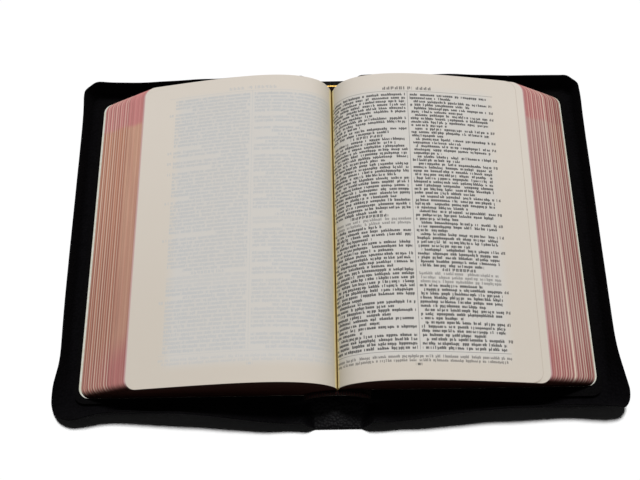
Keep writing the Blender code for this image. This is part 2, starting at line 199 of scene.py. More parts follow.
def edge_course(side, along, foot, out):
    """The turned-up edge's angle, length and pleats at distances along its foot.

    The angle eases from flat on the spine's tongue to the joint's angle, then to the full angle. It opens
    again at the corners, where the length changes too, and leans in at the tail. Ripples are two sines, and
    pleats a cosine that fades away from the corner."""
    from_corner = np.hypot(foot[:, 0] - COVER_REACH, np.abs(foot[:, 1]) - COVER_HALF_HEIGHT)
    from_end = np.minimum(along, along[-1] - along)
    lifted = smooth((from_end - TONGUE_HALF_WIDTH) / TONGUE_BLEND_WIDTH)
    at_head = foot[:, 1] > 0
    unroll_length = np.where(at_head, HEAD_UNROLL_LENGTH, TAIL_UNROLL_LENGTH)
    corner_angle = np.where(at_head, HEAD_CORNER_ANGLE, TAIL_CORNER_ANGLE[side])
    corner_spread = np.where(at_head, HEAD_CORNER_SPREAD, TAIL_CORNER_SPREAD[side])
    corner_extra = np.where(at_head, HEAD_CORNER_EXTRA[side], TAIL_CORNER_EXTRA[side])
    corner_tip = np.where(at_head, HEAD_CORNER_TIP, TAIL_CORNER_TIP[side])
    tongue = np.where(at_head, HEAD_TONGUE_REACH, TAIL_TONGUE_REACH)
    unrolled = (EDGE_ANGLE - JOINT_ANGLE) * (1 - smooth((foot[:, 0] - JOINT_X) / unroll_length))
    splay = (EDGE_ANGLE - corner_angle) * bell(from_corner / corner_spread)
    lean = TAIL_LEAN_ANGLE[side] * bell((foot[:, 0] - TAIL_LEAN_X[side]) / TAIL_LEAN_SPREAD[side])
    lean = lean * smooth((-out[:, 1] - TAIL_FACING) / (1 - TAIL_FACING))
    ripples = [np.sin(2 * math.pi * along / pitch + side) for pitch in RIPPLE_PITCHES]
    waves = sum(ripples) / len(ripples)
    angle = lifted * np.radians(EDGE_ANGLE - unrolled - splay + lean + RIPPLE_ANGLE * waves)
    full = EDGE_LENGTH + corner_extra * bell(from_corner / corner_tip) + RIPPLE_LENGTH * waves
    length = tongue + lifted * (full - tongue)
    pleat = bell(from_corner / PLEAT_SPREAD) * np.cos(2 * math.pi * (along - along[-1] / 2) / PLEAT_PITCH)
    return angle, length, pleat


def wall_between(first, second):
    """A narrow wall between two lines of points, with a row half-way."""
    return np.stack([first, (first + second) / 2, second])


def leather_half(side):
    """Grids of one half's skin: floor below and above, and the turned-up edge carried round its foot.

    The edge leaves the floor on a circle and goes on straight. Its rim is a half circle."""
    stations = foot_stations()
    along = np.concatenate([stations[0], stations[1][1:], stations[2][-2::-1]])
    foot, out = foot_line(along)
    angle, length, pleat = edge_course(side, along, foot, out)
    share = np.linspace(0.0, 1.0, EDGE_STEPS + 1)
    run = length[:, None] * share
    bent = np.minimum(run / EDGE_BEND_RADIUS, angle[:, None])
    straight = np.maximum(run - EDGE_BEND_RADIUS * angle[:, None], 0.0)
    reach = EDGE_BEND_RADIUS * np.sin(bent) + straight * np.cos(angle)[:, None]
    rise = EDGE_BEND_RADIUS * (1 - np.cos(bent)) + straight * np.sin(angle)[:, None]
    flat = foot[:, None] + out[:, None] * reach[..., None]
    inward = np.concatenate([-np.sin(bent)[..., None] * out[:, None], np.cos(bent)[..., None]], axis=-1)
    forward = np.concatenate([np.cos(bent)[:, -1:] * out, np.sin(bent)[:, -1:]], axis=-1)
    outer = np.concatenate([flat, rise[..., None]], axis=-1)
    outer = outer + inward * (PLEAT_DEPTH * pleat[:, None] * share**2)[..., None]
    inner = outer + LEATHER_THICKNESS * inward
    round_turn = np.linspace(0.0, math.pi, RIM_STEPS + 2)[None, 1:-1, None]
    rim_centre = (outer[:, -1:] + inner[:, -1:]) / 2
    rim_out = np.sin(round_turn) * forward[:, None] - np.cos(round_turn) * inward[:, -1:]
    rim = rim_centre + LEATHER_THICKNESS / 2 * rim_out
    rim_fan = np.concatenate([outer[:, -1:], rim, inner[:, -1:]], axis=1)
    edge = np.concatenate([outer, rim, inner[:, ::-1]], axis=1)
    floor = cover_floor(*(foot_line(line)[0] for line in stations))
    below = np.concatenate([floor, np.zeros_like(floor[..., :1])], axis=-1)
    above = below + (0.0, 0.0, LEATHER_THICKNESS)
    sheets = [below, above, edge, wall_between(below[0], above[0])]
    for end in (0, -1):
        sheets.append(wall_between(outer[end], inner[end]))
        sheets.append(np.stack([rim_fan[end], np.repeat(rim_centre[end], RIM_STEPS + 2, axis=0)]))
    return [sheet * (side, 1.0, 1.0) for sheet in sheets]


GRAIN_SCALE = 620.0
CREASE_SCALE = 160.0
CREASE_DETAIL = 4.0
WEAR_SCALE = 24.0
WEAR_DETAIL = 3.0
GRAIN_TONE = 0.6
CREASE_TONE = 0.5
GRAIN_HEIGHT = 0.6
CREASE_HEIGHT = 0.55
GRAIN_RELIEF = 0.9
GRAIN_DEPTH = 0.0006
FINE_DEPTH = 0.0001
LEATHER_GLOSS = 0.025
LEATHER_ROUGHNESS = 0.80
WORN_ROUGHER = 0.12
GRAIN_ROUGHER = 0.06
POLISHED_SMOOTHER = 0.46
POLISH_X = (0.015, 0.036)
BLACK_LOW = (0.0010, 0.0009, 0.0011, 1.0)
BLACK_HIGH = (0.0030, 0.0027, 0.0033, 1.0)
GILT = (0.30, 0.19, 0.05, 1.0)
GILT_LINE_Y = 0.1185
GILT_LINE_HALF_WIDTH = 0.0005
GILT_LINE_REACH = 0.013


class Wire:
    """One output of a shader node, which takes part in sums, products and comparisons as a number does."""

    def __init__(self, tree, socket):
        self.tree = tree
        self.socket = socket

    def node(self, kind, settings, sockets, output=0):
        """Adds a node, sets its settings, fills its sockets with values or wires, and gives one output."""
        made = self.tree.nodes.new("ShaderNode" + kind)
        for name, value in settings.items():
            setattr(made, name, value)
        for place, value in sockets.items():
            if isinstance(value, Wire):
                self.tree.links.new(value.socket, made.inputs[place])
            else:
                made.inputs[place].default_value = value
        return Wire(self.tree, made.outputs[output])

    def maths(self, operation, *values):
        return self.node("Math", {"operation": operation}, dict(enumerate(values)))

    def __add__(self, other):
        return self.maths("ADD", self, other)

    __radd__ = __add__

    def __sub__(self, other):
        return self.maths("SUBTRACT", self, other)

    def __rsub__(self, other):
        return self.maths("SUBTRACT", other, self)

    def __neg__(self):
        return 0.0 - self

    def __mul__(self, other):
        return self.maths("MULTIPLY", self, other)

    __rmul__ = __mul__

    def __truediv__(self, other):
        return self.maths("DIVIDE", self, other)

    def __gt__(self, other):
        return self.maths("GREATER_THAN", self, other)

    def __lt__(self, other):
        return self.maths("LESS_THAN", self, other)

    def __abs__(self):
        return self.maths("ABSOLUTE", self)

    def floor(self):
        return self.maths("FLOOR", self)

    def fract(self):
        return self.maths("FRACT", self)

    def sine(self):
        return self.maths("SINE", self)

    def root(self):
        return self.maths("SQRT", self)

    def most(self, other):
        return self.maths("MAXIMUM", self, other)

    def within(self, low, high):
        return (self > low) * (self < high)

    def ease(self, low, high):
        """Rises smoothly from 0 at low to 1 at high."""
        places = {"Value": self, "From Min": low, "From Max": high}
        return self.node("MapRange", {"interpolation_type": "SMOOTHSTEP"}, places)

    def blend(self, first, second):
        """The first colour where this is 0 and the second where it is 1."""
        return self.node("Mix", {"data_type": "RGBA"}, {0: self, 6: first, 7: second}, 2)

    def parts(self):
        """The three numbers of a vector."""
        first = self.node("SeparateXYZ", {}, {0: self})
        return [Wire(self.tree, output) for output in first.socket.node.outputs]

    def stretched(self, scale):
        return self.node("VectorMath", {"operation": "MULTIPLY"}, {0: self, 1: scale})

    def noise(self, scale, detail=2.0):
        return self.node("TexNoise", {}, {"Vector": self, "Scale": scale, "Detail": detail})

    def cells(self, scale):
        return self.node("TexVoronoi", {}, {"Vector": self, "Scale": scale})


def start_finish(name, roughness, gloss):
    """A new material with a plain shader, and the piece's own coordinates as a wire."""
    finish = bpy.data.materials.new(name)
    finish.use_nodes = True
    tree = finish.node_tree
    shader = tree.nodes["Principled BSDF"]
    shader.inputs["Roughness"].default_value = roughness
    shader.inputs["Specular IOR Level"].default_value = gloss
    place = tree.nodes.new("ShaderNodeTexCoord")
    return finish, Wire(tree, place.outputs["Object"])


def feed(finish, socket, wire):
    """Links a wire to one of the material's shader sockets."""
    shader = finish.node_tree.nodes["Principled BSDF"]
    finish.node_tree.links.new(wire.socket, shader.inputs[socket])


def feed_relief(finish, height, strength, depth=FINE_DEPTH):
    """Turns a height into bumps of the surface."""
    sockets = {"Height": height, "Strength": strength, "Distance": depth}
    feed(finish, "Normal", height.node("Bump", {}, sockets))


black_leather, place = start_finish("black_grained_leather", LEATHER_ROUGHNESS, LEATHER_GLOSS)
place_x, place_y, place_z = place.parts()
grain = place.cells(GRAIN_SCALE)
crease = place.noise(CREASE_SCALE, CREASE_DETAIL)
worn = place.noise(WEAR_SCALE, WEAR_DETAIL)
gilt_line = (abs(place_y - GILT_LINE_Y) < GILT_LINE_HALF_WIDTH) * (abs(place_x) < GILT_LINE_REACH)
gilt_line = gilt_line * (place_z > LEATHER_THICKNESS / 2)
hide_colour = (grain * GRAIN_TONE + crease * CREASE_TONE).blend(BLACK_HIGH, BLACK_LOW)
polished = 1 - abs(place_x).ease(*POLISH_X)
hide_roughness = LEATHER_ROUGHNESS + WORN_ROUGHER * worn + GRAIN_ROUGHER * grain
feed(black_leather, "Base Color", gilt_line.blend(hide_colour, GILT))
feed(black_leather, "Roughness", hide_roughness - POLISHED_SMOOTHER * polished)
feed(black_leather, "Metallic", gilt_line)
feed_relief(black_leather, CREASE_HEIGHT * crease - GRAIN_HEIGHT * grain, GRAIN_RELIEF, GRAIN_DEPTH)

for name, side, body, replaced in (
    ("front_half_leather", LEFT, "front_cover", ("front_cover_leather", "spine_leather")),
    ("back_half_leather", RIGHT, "back_cover", ("back_cover_leather",)),
):
    skin = make_piece(name, leather_half(side), None, black_leather, LEATHER_SHARP_ANGLE)
    before = (side * (JOINT_X - JOINT_HALF_WIDTH), 0.0, 0.0)
    after = (side * (JOINT_X + JOINT_HALF_WIDTH), 0.0, 0.0)
    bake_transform(skin)
    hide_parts(*replaced)

# The cards that stiffen covers and spine: thin grey board, cut smaller than the leather and glued to it.
# Only their edges ever show, so they stay as the CAD has them, with the fleck of raw board.
BOARD_DARK = (0.24, 0.23, 0.21, 1.0)
BOARD_PALE = (0.43, 0.41, 0.37, 1.0)
BOARD_ROUGHNESS = 0.85
BOARD_GLOSS = 0.3
BOARD_RELIEF = 0.3
FLECK_SCALE = 700.0
FLECK_DETAIL = 4.0
FLECK_EASE = (0.3, 0.7)

grey_card, place = start_finish("grey_board", BOARD_ROUGHNESS, BOARD_GLOSS)
fleck = place.noise(FLECK_SCALE, FLECK_DETAIL)
feed(grey_card, "Base Color", fleck.ease(*FLECK_EASE).blend(BOARD_DARK, BOARD_PALE))
feed_relief(grey_card, fleck, BOARD_RELIEF)


def dress(finish, *names):
    """Gives CAD nodes whose shape stays a better material."""
    for node_name in names:
        nodes[node_name].data.materials.clear()
        nodes[node_name].data.materials.append(finish)


dress(grey_card, "front_cover_card", "back_cover_card", "spine_card")

# The linings: smooth black leather paper, pasted over card and turned-in leather inside each cover.
# They stay as the CAD has them. The paper has a faint printed grain and is nearly matt.
LINING_LOW = (0.0012, 0.0011, 0.0012, 1.0)
LINING_HIGH = (0.0032, 0.0030, 0.0032, 1.0)
LINING_ROUGHNESS = 0.76
LINING_ROUGHER = 0.2
LINING_GLOSS = 0.02
LINING_RELIEF = 0.25
LINING_GRAIN_SCALE = 900.0
LINING_GRAIN_DETAIL = 3.0
LINING_EASE = (0.35, 0.7)

black_lining, place = start_finish("black_lining_paper", LINING_ROUGHNESS, LINING_GLOSS)
lining_grain = place.noise(LINING_GRAIN_SCALE, LINING_GRAIN_DETAIL)
feed(black_lining, "Base Color", lining_grain.ease(*LINING_EASE).blend(LINING_LOW, LINING_HIGH))
feed(black_lining, "Roughness", LINING_ROUGHNESS + LINING_ROUGHER * lining_grain)
feed_relief(black_lining, lining_grain, LINING_RELIEF)
dress(black_lining, "front_cover_lining", "back_cover_lining")

# The sewn backs: dark open-weave cotton glued over the folds, three tapes of the same, two kettle stitches
# and a woven band at head and tail. All of it is the CAD's own shape, with threads drawn on it.
WEAVE_PITCH = 0.0009
WEAVE_EASE = (0.1, 0.9)
CLOTH_LOW = (0.020, 0.013, 0.010, 1.0)
CLOTH_HIGH = (0.062, 0.045, 0.036, 1.0)
CLOTH_ROUGHNESS = 0.9
CLOTH_GLOSS = 0.08
CLOTH_RELIEF = 0.6
CLOTH_DEPTH = 0.0002
FUZZ_SCALE = 300.0
FUZZ_STRENGTH = 0.3
THREAD_LOW = (0.42, 0.36, 0.25, 1.0)
THREAD_HIGH = (0.74, 0.68, 0.54, 1.0)
THREAD_ROUGHNESS = 0.8
THREAD_GLOSS = 0.3
THREAD_RELIEF = 0.5
TWIST_PITCH = 0.0012
BAND_RED = (0.022, 0.005, 0.004, 1.0)
BAND_BLACK = (0.004, 0.003, 0.003, 1.0)
BAND_GLOSS = 0.05
BAND_PITCH = 0.0016
BAND_EASE = (0.35, 0.65)
BAND_DEPTH = 0.0003


def waves_of(place, pitch):
    """A sine of a wire that measures in metres, once a pitch."""
    return (place * (2 * math.pi / pitch)).sine()


lining_cloth, place = start_finish("open_weave_cotton", CLOTH_ROUGHNESS, CLOTH_GLOSS)
place_x, place_y, _ = place.parts()
weave = 0.5 + 0.25 * (waves_of(place_x, WEAVE_PITCH) + waves_of(place_y, WEAVE_PITCH))
weave = weave + FUZZ_STRENGTH * (place.noise(FUZZ_SCALE) - 0.5)
feed(lining_cloth, "Base Color", weave.ease(*WEAVE_EASE).blend(CLOTH_LOW, CLOTH_HIGH))
feed_relief(lining_cloth, weave, CLOTH_RELIEF, CLOTH_DEPTH)
dress(lining_cloth, "spine_cloth", "sewing_tape_1", "sewing_tape_2", "sewing_tape_3")

linen_thread, place = start_finish("linen_thread", THREAD_ROUGHNESS, THREAD_GLOSS)
place_x, place_y, place_z = place.parts()
twist = waves_of(place_x + place_y + place_z, TWIST_PITCH) * 0.5 + 0.5
feed(linen_thread, "Base Color", twist.blend(THREAD_LOW, THREAD_HIGH))
feed_relief(linen_thread, twist, THREAD_RELIEF)
dress(linen_thread, "kettle_stitch_head", "kettle_stitch_tail")

band_thread, place = start_finish("band_thread", THREAD_ROUGHNESS, BAND_GLOSS)
stripe = waves_of(place.parts()[0], BAND_PITCH) * 0.5 + 0.5
feed(band_thread, "Base Color", stripe.ease(*BAND_EASE).blend(BAND_BLACK, BAND_RED))
feed_relief(band_thread, stripe, THREAD_RELIEF, BAND_DEPTH)
dress(band_thread, "headband", "tailband")

# The block: nine sewn gatherings a side, each a bundle of thin leaves folded on the arched back.
# The lowest leaf lies flat, the open page arches up from the gutter, and the rest lie evenly between.
# The trimmed edges are red under gilding that has worn to tan, and pale lines show between the leaves.
HALF_LEAF = 0.105
LEAF_WIDTH = 0.1388
LEAF_CORNER_RADIUS = 0.007
HALF_SPINE = 0.0205
GUTTER_GAP = 0.0003
BACK_LEVEL = 0.0041
BLOCK_LEVEL = 0.0043
SPINE_ARCH = 0.011
PAGE_RISER = 0.0026
PAGE_START_ANGLE = 77.5
PAGE_END_ANGLE = -13.0
PAGE_BEND_LENGTH = 0.0245
ARCH_FADE = 0.018
CURVE_STEPS = 1200
GATHERINGS = 9
BUNDLE_GAP = 0.05
BUNDLE_LEVELS = 8
BUNDLE_NOTCH = 0.0005
LEAF_JITTER = 0.0003
JITTER_SEED = 7
FLYLEAF_SHOWN = {LEFT: 0.0006, RIGHT: 0.0002}
FLYLEAF_SHARE = 0.22
TAIL_SLIP = {LEFT: 0.0, RIGHT: 0.0028}
HEAD_SLIP = {LEFT: 0.0, RIGHT: 0.0009}
FORE_SLIP = {LEFT: 0.0, RIGHT: 0.0026}
GUTTER_DIP = 0.0024
GUTTER_DIP_WIDTH = 0.010
PAGE_SHEET_SHARE = 0.006
BLOCK_CORNER_STEPS = 9
BLOCK_STRAIGHT_STEPS = 24
SPOT_STEPS = 29
SPOT_CROWDING = 1.5

curve_spots = np.linspace(0.0, LEAF_WIDTH, CURVE_STEPS + 1)
curve_run = np.maximum(curve_spots - PAGE_RISER, 0.0)
curve_fall = math.radians(PAGE_START_ANGLE - PAGE_END_ANGLE)
curve_angles = math.radians(PAGE_END_ANGLE) + curve_fall * np.exp(-curve_run / PAGE_BEND_LENGTH)
curve_angles = np.where(curve_spots < PAGE_RISER, math.pi / 2, curve_angles)
curve_middles = (curve_angles[1:] + curve_angles[:-1]) / 2
curve_lengths = np.diff(curve_spots)
curve_x = GUTTER_GAP / 2 + np.concatenate([[0.0], np.cumsum(np.cos(curve_middles) * curve_lengths)])
curve_z = np.concatenate([[0.0], np.cumsum(np.sin(curve_middles) * curve_lengths)])
curve_z = BACK_LEVEL + SPINE_ARCH + curve_z


def slip(side, share, spot, y):
    """How far handling has moved a leaf outwards and towards its head.

    On the right the low leaves' tails stand back, and the top leaves' fore-edges lean out towards the head,
    which sits a little low. On both sides the head dips in the gutter, where the folds are worn."""
    outwards = FORE_SLIP[side] * share * (spot / LEAF_WIDTH) * (1 + y / HALF_LEAF) / 2
    at_head = smooth(y / HALF_LEAF) * share
    headwards = TAIL_SLIP[side] * (1 - share) * smooth(-y / HALF_LEAF) - HEAD_SLIP[side] * at_head
    return outwards, headwards - GUTTER_DIP * bell(spot / GUTTER_DIP_WIDTH) * at_head


def leaf_points(side, share, spot, y, lift=0.0):
    """Points of a leaf at a share of the block's height and a distance from its fold.

    The share mixes the flat lowest leaf with the open page's curve, which starts upright in the gutter and
    whose angle falls away exponentially. Near the fold the sewn back's arch is added. Lift raises a point
    square to the page."""
    page_x = np.interp(spot, curve_spots, curve_x)
    page_z = np.interp(spot, curve_spots, curve_z)
    angle = np.interp(spot, curve_spots, curve_angles)
    slip_x, slip_y = slip(side, share, spot, y)
    x = (1 - share) * (HALF_SPINE + spot) + share * page_x - lift * np.sin(angle) + slip_x
    z = (1 - share) * BLOCK_LEVEL + share * page_z + lift * np.cos(angle)
    z = z + SPINE_ARCH * share * (1 - share) * bell(spot / ARCH_FADE)
    return np.stack(np.broadcast_arrays(side * x, y + slip_y, z), axis=-1)


def corner_cut(y):
    """How far the rounded corner takes the fore-edge back at a height on the leaf: a circle's sagitta."""
    past = np.clip(np.abs(y) - (HALF_LEAF - LEAF_CORNER_RADIUS), 0.0, LEAF_CORNER_RADIUS)
    return LEAF_CORNER_RADIUS - np.sqrt(LEAF_CORNER_RADIUS**2 - past**2)


def leaf_heights(corner_steps, straight_steps):
    """Places down a leaf, close together round its corners."""
    turn = np.linspace(0.0, math.pi / 2, corner_steps + 1)
    corner = HALF_LEAF - LEAF_CORNER_RADIUS * (1 - np.cos(turn))
    straight = np.linspace(corner[-1], -corner[-1], straight_steps + 1)
    return np.concatenate([corner[:-1], straight, -corner[-2::-1]])


def six_faces(block):
    """The six faces of a block of points on three parameters."""
    return [block[0], block[-1], block[:, 0], block[:, -1], block[:, :, 0], block[:, :, -1]]


def dice(a, b):
    """A number between 0 and 1 that is fixed for each pair of whole numbers."""
    pair = a.node("CombineXYZ", {}, {0: a, 1: b})
    return a.node("TexWhiteNoise", {"noise_dimensions": "2D"}, {"Vector": pair})


EDGE_TAN = (0.50, 0.232, 0.154, 1.0)
EDGE_PALE_TAN = (0.55, 0.315, 0.225, 1.0)
EDGE_MAUVE = (0.45, 0.272, 0.25, 1.0)
EDGE_PINK = (0.53, 0.205, 0.205, 1.0)
EDGE_ROSE = (0.30, 0.085, 0.085, 1.0)
EDGE_SHADE = (0.22, 0.085, 0.07, 1.0)
EDGE_CREAM = (0.66, 0.54, 0.44, 1.0)
EDGE_LILAC = (0.56, 0.38, 0.38, 1.0)
EDGE_RED = (0.20, 0.058, 0.050, 1.0)
EDGE_TAIL_SHADE = (0.011, 0.0035, 0.0025, 1.0)
EDGE_ROUGHNESS = 0.75
EDGE_GLOSS = 0.015
EDGE_RELIEF = 0.5
EDGE_DEPTH = 0.0003
LEAF_LINE_GRAIN = (60.0, 3.0, 0.0)
LEAF_LINE_DETAIL = 4.0
LEAF_LINE_EASE = (0.55, 0.75)
LEAF_LINE_PALE = 0.30
PATCH_GRAIN = (9.0, 14.0, 0.0)
PATCH_EASE = (0.4, 0.7)
PATCH_STRENGTH = 0.22
WANDER_GRAIN = (3.0, 5.0, 0.0)
HEAD_PINK_UP = (0.079, 0.083)
HEAD_PINK_SLANT = 0.002
TAIL_PINK_DOWN = (0.074, 0.098)
TAIL_PINK_SLANT = 0.010
TAIL_PINK_STACK = (0.4, 0.7)
PINK_WANDER = 0.006
PINK_STRENGTH = 0.9
PLAIN_STACK = (0.60, 0.65)
PLAIN_FURTHER_RIGHT = 0.25
WORN_UP = (0.03, 0.07)
WORN_STACK = (0.25, 0.45)
WORN_STRENGTH = 0.6
LOW_STACK = (0.0, 0.6)
HEADWARD_UP = (-0.07, -0.02)
TAILWARD_DOWN = (-0.07, 0.08)
TAILWARD_LESS_PLAIN = 0.3
LOW_SHADE = 0.46
LOW_HEAD_SHADE = 0.14
LOW_TAIL_SHADE = 0.25
TAIL_PINK_SHADE = 0.45
TAILWARD_SHADE = 0.45
TAILWARD_LESS_RIGHT = 0.35
HEAD_RIGHT_SHADE = 0.22
PALE_LINES = 18.0
PALE_LINE_WANDER = 0.4
DICE_LEAD = 0.25
CREST_START = (0.52, 0.62)
CREST_END = (0.74, 0.84)
CREST_LESS_PLAIN = 0.85
CREST_PALE = 0.58
CREST_VARIES = 0.12
CREST_VARIES_RIGHT = 0.14
CREST_LESS_RIGHT = 0.12
CREST_MORE_LOW = 0.2
CREVICE_END = (0.18, 0.34)
CREVICE_LESS_PLAIN = 0.8
CREVICE_DARK = 0.12
CREVICE_DARK_PATCHES = 0.15
CREVICE_DARK_RIGHT = 0.42
CREVICE_DARK_LOW = 0.36
CREVICE_HEIGHT = 0.8
BOLD_LINE = 0.465
BOLD_HALF_WIDTH = 0.022
BOLD_WANDER = 0.05
BOLD_SIDE = (0.6, 1.2)
TOP_STACK = (0.955, 0.975)
TOP_STRENGTH = 0.7
HEAD_FACE_UP = (0.1038, 0.1046)
HEAD_FACE_LINES = 0.35
TAIL_FACE_DOWN = (0.0995, 0.1040)

# A bundle's chart gives each point's share of the block's height, stack, and its place headwards, up.
page_edges, place = start_finish("coloured_leaf_edges", EDGE_ROUGHNESS, EDGE_GLOSS)
chart = place.node("UVMap", {"uv_map": "chart"}, {})
stack, up, _ = chart.parts()
on_right = place.parts()[0] > 0.0
lines = chart.stretched(LEAF_LINE_GRAIN).noise(1.0, LEAF_LINE_DETAIL)
patches = chart.stretched(PATCH_GRAIN).noise(1.0)
wander = chart.stretched(WANDER_GRAIN).noise(1.0, 1.0) - 0.5

# Worn gilding over red: tan on the left, mauve on the right, and pink at head and tail, where it is gone.
head_pink = (up + HEAD_PINK_SLANT * stack - PINK_WANDER * wander).ease(*HEAD_PINK_UP)
tail_pink = (PINK_WANDER * wander - up + TAIL_PINK_SLANT * stack).ease(*TAIL_PINK_DOWN)
tail_pink = tail_pink * (0.5 + 0.5 * stack.ease(*TAIL_PINK_STACK))
plain = (stack - PLAIN_FURTHER_RIGHT * on_right).ease(*PLAIN_STACK)
worn_gilt = on_right * up.ease(*WORN_UP) * (1 - stack.ease(*WORN_STACK))
ground = plain.blend(EDGE_TAN, EDGE_PALE_TAN)
ground = (on_right * (1 - WORN_STRENGTH * worn_gilt)).blend(ground, EDGE_MAUVE)
ground = (head_pink.most(tail_pink) * PINK_STRENGTH).blend(ground, EDGE_PINK)
ground = (patches.ease(*PATCH_EASE) * PATCH_STRENGTH).blend(ground, EDGE_ROSE)

# Painted shade darkens the low leaves of the right-hand side, the right-hand head and both sides towards
# their tails.
low_right = (1 - stack.ease(*LOW_STACK)) * on_right
headward = up.ease(*HEADWARD_UP)
tailward = (-up).ease(*TAILWARD_DOWN) * (1 - tail_pink) * (1 - TAILWARD_LESS_PLAIN * plain)
shade = (LOW_SHADE + LOW_TAIL_SHADE * tail_pink) * low_right + TAIL_PINK_SHADE * tail_pink
shade = shade + (TAILWARD_SHADE - TAILWARD_LESS_RIGHT * on_right) * tailward
shade = shade + HEAD_RIGHT_SHADE * head_pink * on_right + LOW_HEAD_SHADE * low_right * headward
ground = shade.blend(ground, EDGE_SHADE)

# Each pale line is a crest of bare paper beside a crevice darkened with painted shade. One bold line stands
# out on the right.
counted = stack * PALE_LINES + PALE_LINE_WANDER * wander
step = counted.fract()
brightness = dice((counted + DICE_LEAD).floor(), on_right)
crevice = (1 - step.ease(*CREVICE_END)) * (1 - CREVICE_LESS_PLAIN * plain)
crevice_shade_strength = CREVICE_DARK + CREVICE_DARK_PATCHES * patches + CREVICE_DARK_RIGHT * on_right
ground = (crevice * (crevice_shade_strength + CREVICE_DARK_LOW * low_right)).blend(ground, EDGE_ROSE)
crest = step.ease(*CREST_START) * (1 - step.ease(*CREST_END)) * (1 - CREST_LESS_PLAIN * plain)
paleness = CREST_PALE + CREST_VARIES * brightness + CREST_MORE_LOW * (1 - headward) * low_right
paleness = paleness + on_right * (CREST_VARIES_RIGHT * brightness - CREST_LESS_RIGHT)
from_bold = abs(stack + BOLD_WANDER * wander - BOLD_LINE) / BOLD_HALF_WIDTH
bold = (1 - from_bold.ease(*BOLD_SIDE)) * on_right
pale = (lines.ease(*LEAF_LINE_EASE) * LEAF_LINE_PALE).most(crest * paleness).most(bold)
edge_colour = pale.blend(ground, EDGE_CREAM)

# The top leaves are lilac and the face at the head is red. The face at the tail is near-black brown, which
# is painted shade.
edge_colour = (stack.ease(*TOP_STACK) * TOP_STRENGTH).blend(edge_colour, EDGE_LILAC)
edge_colour = (up.ease(*HEAD_FACE_UP) * (1 - HEAD_FACE_LINES * lines)).blend(edge_colour, EDGE_RED)
edge_colour = (-up).ease(*TAIL_FACE_DOWN).blend(edge_colour, EDGE_TAIL_SHADE)
feed(page_edges, "Base Color", edge_colour)
feed_relief(page_edges, lines - CREVICE_HEIGHT * crevice, EDGE_RELIEF, EDGE_DEPTH)

jitter = np.random.default_rng(JITTER_SEED)
heights = leaf_heights(BLOCK_CORNER_STEPS, BLOCK_STRAIGHT_STEPS)
crowded = np.linspace(0.0, 1.0, SPOT_STEPS + 1) ** SPOT_CROWDING
for side, word in ((LEFT, "left"), (RIGHT, "right")):
    for number in range(GATHERINGS):
        low = (number + BUNDLE_GAP / 2) / GATHERINGS
        high = min((number + 1 - BUNDLE_GAP / 2) / GATHERINGS, 1.0 - PAGE_SHEET_SHARE)
        shares = np.linspace(low, high, BUNDLE_LEVELS)
        trim = jitter.uniform(0.0, LEAF_JITTER, BUNDLE_LEVELS)
        trim[[0, -1]] += BUNDLE_NOTCH
        trim = trim + FLYLEAF_SHOWN[side] * (1 - smooth(shares / FLYLEAF_SHARE))
        ends = LEAF_WIDTH - trim[:, None] - corner_cut(heights)[None]
        spots = crowded[None, :, None] * ends[:, None]
        stacked = np.broadcast_to(shares[:, None, None], spots.shape)
        points = leaf_points(side, stacked, spots, heights[None, None])
        chart_points = np.stack(np.broadcast_arrays(stacked, heights[None, None]), axis=-1)
        name = f"{word}_bundle_{number + 1}"
        bundle = make_piece(name, six_faces(points), six_faces(chart_points), page_edges)
        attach(bundle, "text_block")
        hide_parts(f"{word}_gathering_{number + 1}")

# The flyleaves: one pale leaf of stouter paper between each lining and the block.
# Each lies flat, its corners rounded like the leaves', and its edge shows past theirs as a pale line.
FLYLEAF_LEVEL = 0.0036
FLYLEAF_THICKNESS = 0.0004
FLYLEAF_START = 0.0003
FLYLEAF_STEPS = 24
FLYLEAF_WARM = (0.53, 0.52, 0.42, 1.0)
FLYLEAF_PALE = (0.60, 0.60, 0.54, 1.0)
FLYLEAF_ROUGHNESS = 0.8
FLYLEAF_GLOSS = 0.3
FLYLEAF_RELIEF = 0.15
FLYLEAF_SCALE = 420.0
FLYLEAF_DETAIL = 5.0
FLYLEAF_EASE = (0.3, 0.7)

flyleaf_paper, place = start_finish("flyleaf_paper", FLYLEAF_ROUGHNESS, FLYLEAF_GLOSS)
fibre = place.noise(FLYLEAF_SCALE, FLYLEAF_DETAIL)
feed(flyleaf_paper, "Base Color", fibre.ease(*FLYLEAF_EASE).blend(FLYLEAF_WARM, FLYLEAF_PALE))
feed_relief(flyleaf_paper, fibre, FLYLEAF_RELIEF)


def flyleaf_points(side):
    """A flat sheet from the joint to a fore-edge whose corners are rounded."""
    across = np.linspace(0.0, 1.0, FLYLEAF_STEPS + 1)[None, :, None]
    ends = LEAF_WIDTH - corner_cut(heights)
    spots = FLYLEAF_START + across * (ends[None, None] - FLYLEAF_START)
    levels = FLYLEAF_LEVEL + FLYLEAF_THICKNESS * np.array([0.0, 1.0])[:, None, None]
    tall = heights + slip(side, 0.0, spots, heights)[1]
    return np.stack(np.broadcast_arrays(side * (HALF_SPINE + spots), tall, levels), axis=-1)


for side, word in ((LEFT, "front"), (RIGHT, "back")):
    flyleaf = make_piece(f"{word}_flyleaf_sheet", six_faces(flyleaf_points(side)), None, flyleaf_paper)
    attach(flyleaf, "text_block")
    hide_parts(f"{word}_flyleaf")

